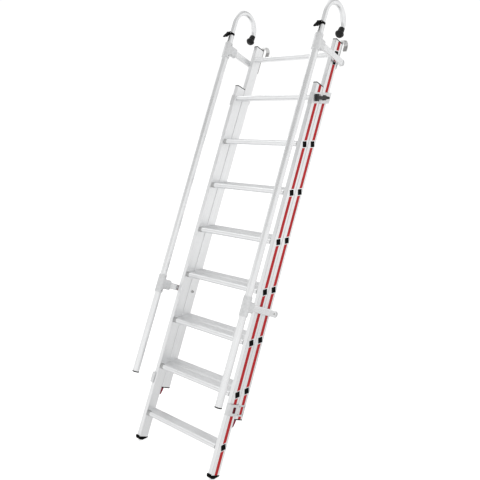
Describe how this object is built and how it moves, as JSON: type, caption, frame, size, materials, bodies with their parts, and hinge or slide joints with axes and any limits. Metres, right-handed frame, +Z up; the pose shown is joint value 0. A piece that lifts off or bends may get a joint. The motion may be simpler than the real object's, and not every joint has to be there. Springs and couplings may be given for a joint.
{
  "type": "hook-on extension ladder",
  "caption": "Leaning two-section step ladder that hangs on a rail by its top hooks, with a sliding rear section, side handrails and telescoping cane-shaped hand grips.",
  "frame": {"origin": "on the floor, under the middle of the leaning ladder's box", "axes": "+Z up, +Y from the climber towards the wall or rail, +X to the climber's right; the stiles lean at 67.4 degrees to the floor"},
  "size_m": [0.7008, 1.095, 2.403],
  "materials": {
    "stile_aluminium": "satin extruded",
    "tread_aluminium": "satin extruded, ribbed top",
    "tube_aluminium": "satin drawn",
    "cast_aluminium": "matt cast",
    "sheet_aluminium": "satin sheet",
    "hook_steel": "zinc plated",
    "fastener_steel": "zinc plated",
    "red_stripe": "satin film",
    "red_plastic": "moulded",
    "black_plastic": "moulded, fine texture",
    "grey_plastic": "moulded",
    "light_plastic": "moulded",
    "black_rubber": "matt"
  },
  "bodies": {
    "lower_section": {"lower_stile_left": "stile_aluminium", "lower_stile_right": "stile_aluminium", "lower_tread_1": "tread_aluminium", "lower_tread_2": "tread_aluminium", "lower_tread_3": "tread_aluminium", "lower_tread_4": "tread_aluminium", "lower_tread_5": "tread_aluminium", "lower_tread_6": "tread_aluminium", "lower_tread_7": "tread_aluminium", "lower_tread_8": "tread_aluminium", "lower_foot_left": "black_rubber", "lower_foot_right": "black_rubber", "lower_top_caps": "grey_plastic", "lower_tread_plugs": "black_plastic", "lower_stripes": "red_stripe", "upper_guide_brackets": "sheet_aluminium", "upper_bracket_rivets": "fastener_steel", "upper_bracket_pads": "black_plastic", "lock_block": "black_plastic", "lock_pin": "fastener_steel"},
    "lock_lever": {"lock_lever": "black_plastic"},
    "upper_section": {"upper_stile_left": "stile_aluminium", "upper_stile_right": "stile_aluminium", "upper_tread_1": "tread_aluminium", "upper_tread_2": "tread_aluminium", "upper_tread_3": "tread_aluminium", "upper_tread_4": "tread_aluminium", "upper_tread_5": "tread_aluminium", "upper_tread_6": "tread_aluminium", "upper_tread_7": "tread_aluminium", "upper_tread_8": "tread_aluminium", "upper_tread_plugs": "black_plastic", "upper_stripes": "red_stripe", "upper_top_caps": "grey_plastic", "upper_bottom_caps": "black_plastic", "glide_tongues": "red_plastic", "lower_guide_brackets": "sheet_aluminium", "lower_bracket_rivets": "fastener_steel", "lower_bracket_glides": "red_plastic", "hook_left": "hook_steel", "hook_right": "hook_steel", "hook_bolts": "fastener_steel", "handrail_arms": "tube_aluminium", "arm_end_caps": "light_plastic", "arm_spacers": "tube_aluminium", "arm_glide_pads": "grey_plastic", "handrail_fasteners": "fastener_steel", "tube_clamps": "cast_aluminium", "handrail_tube_left": "tube_aluminium", "handrail_tube_right": "tube_aluminium", "handrail_bottom_caps": "grey_plastic", "tube_necks": "tube_aluminium", "clamp_collars": "black_plastic", "lever_pins": "fastener_steel"},
    "clamp_lever_left": {"clamp_lever_left": "black_plastic"},
    "clamp_lever_right": {"clamp_lever_right": "black_plastic"},
    "cane_left": {"cane_left": "tube_aluminium", "cane_ends_left": "black_rubber"},
    "cane_right": {"cane_right": "tube_aluminium", "cane_ends_right": "black_rubber"}
  },
  "joints": [
    {"name": "section_slide", "type": "slide", "parent": "lower_section", "child": "upper_section", "axis": [0, 0.3843, 0.9232], "range_m": [0, 1.08]},
    {"name": "cane_left_slide", "type": "slide", "parent": "upper_section", "child": "cane_left", "axis": [0, 0.3843, 0.9232], "range_m": [0, 0.8]},
    {"name": "cane_right_slide", "type": "slide", "parent": "upper_section", "child": "cane_right", "axis": [0, 0.3843, 0.9232], "range_m": [0, 0.8]},
    {"name": "clamp_lever_left_swing", "type": "hinge", "parent": "upper_section", "child": "clamp_lever_left", "pos_m": [-0.326, 0.2395, 2.26734], "axis": [-1, 0, 0], "range_deg": [0, 100]},
    {"name": "clamp_lever_right_swing", "type": "hinge", "parent": "upper_section", "child": "clamp_lever_right", "pos_m": [0.326, 0.2395, 2.26734], "axis": [-1, 0, 0], "range_deg": [0, 100]},
    {"name": "lock_lever_swing", "type": "hinge", "parent": "lower_section", "child": "lock_lever", "pos_m": [0.31, 0.26213, 1.88389], "axis": [0, 0, -1], "range_deg": [0, 90]}
  ]
}
